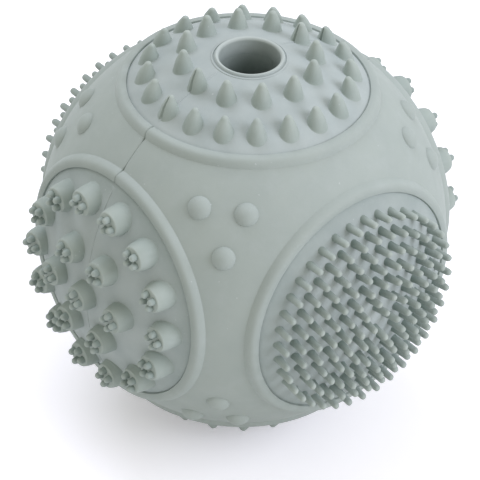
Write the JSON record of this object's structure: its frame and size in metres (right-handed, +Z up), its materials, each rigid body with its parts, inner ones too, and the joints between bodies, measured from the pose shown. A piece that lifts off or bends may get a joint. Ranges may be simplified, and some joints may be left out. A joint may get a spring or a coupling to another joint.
{
  "type": "dog dental ball",
  "caption": "Hollow rubber dental ball for dogs: domed pads of cones, crowned knobs and fine pins inside raised rims, bumps on the corners, and a round treat mouth in the top pad.",
  "frame": {"origin": "on the ground under the ball's centre, at the tips of the lower cones", "axes": "+Z up out of the treat mouth, -Y towards the front knob pad, +X towards the right pin pad; the moulding seam is the plane X = 0"},
  "size_m": [0.0794, 0.08, 0.0767],
  "materials": {
    "rubber": "matte grey-green rubber with a faint pale bloom"
  },
  "bodies": {
    "root": {"shell_half_right": "rubber", "shell_half_left": "rubber", "cone_pad_top": "rubber", "cone_pad_bottom": "rubber", "knob_pad_front": "rubber", "knob_pad_rear": "rubber", "pin_pad_right": "rubber", "pin_pad_left": "rubber"}
  },
  "joints": []
}
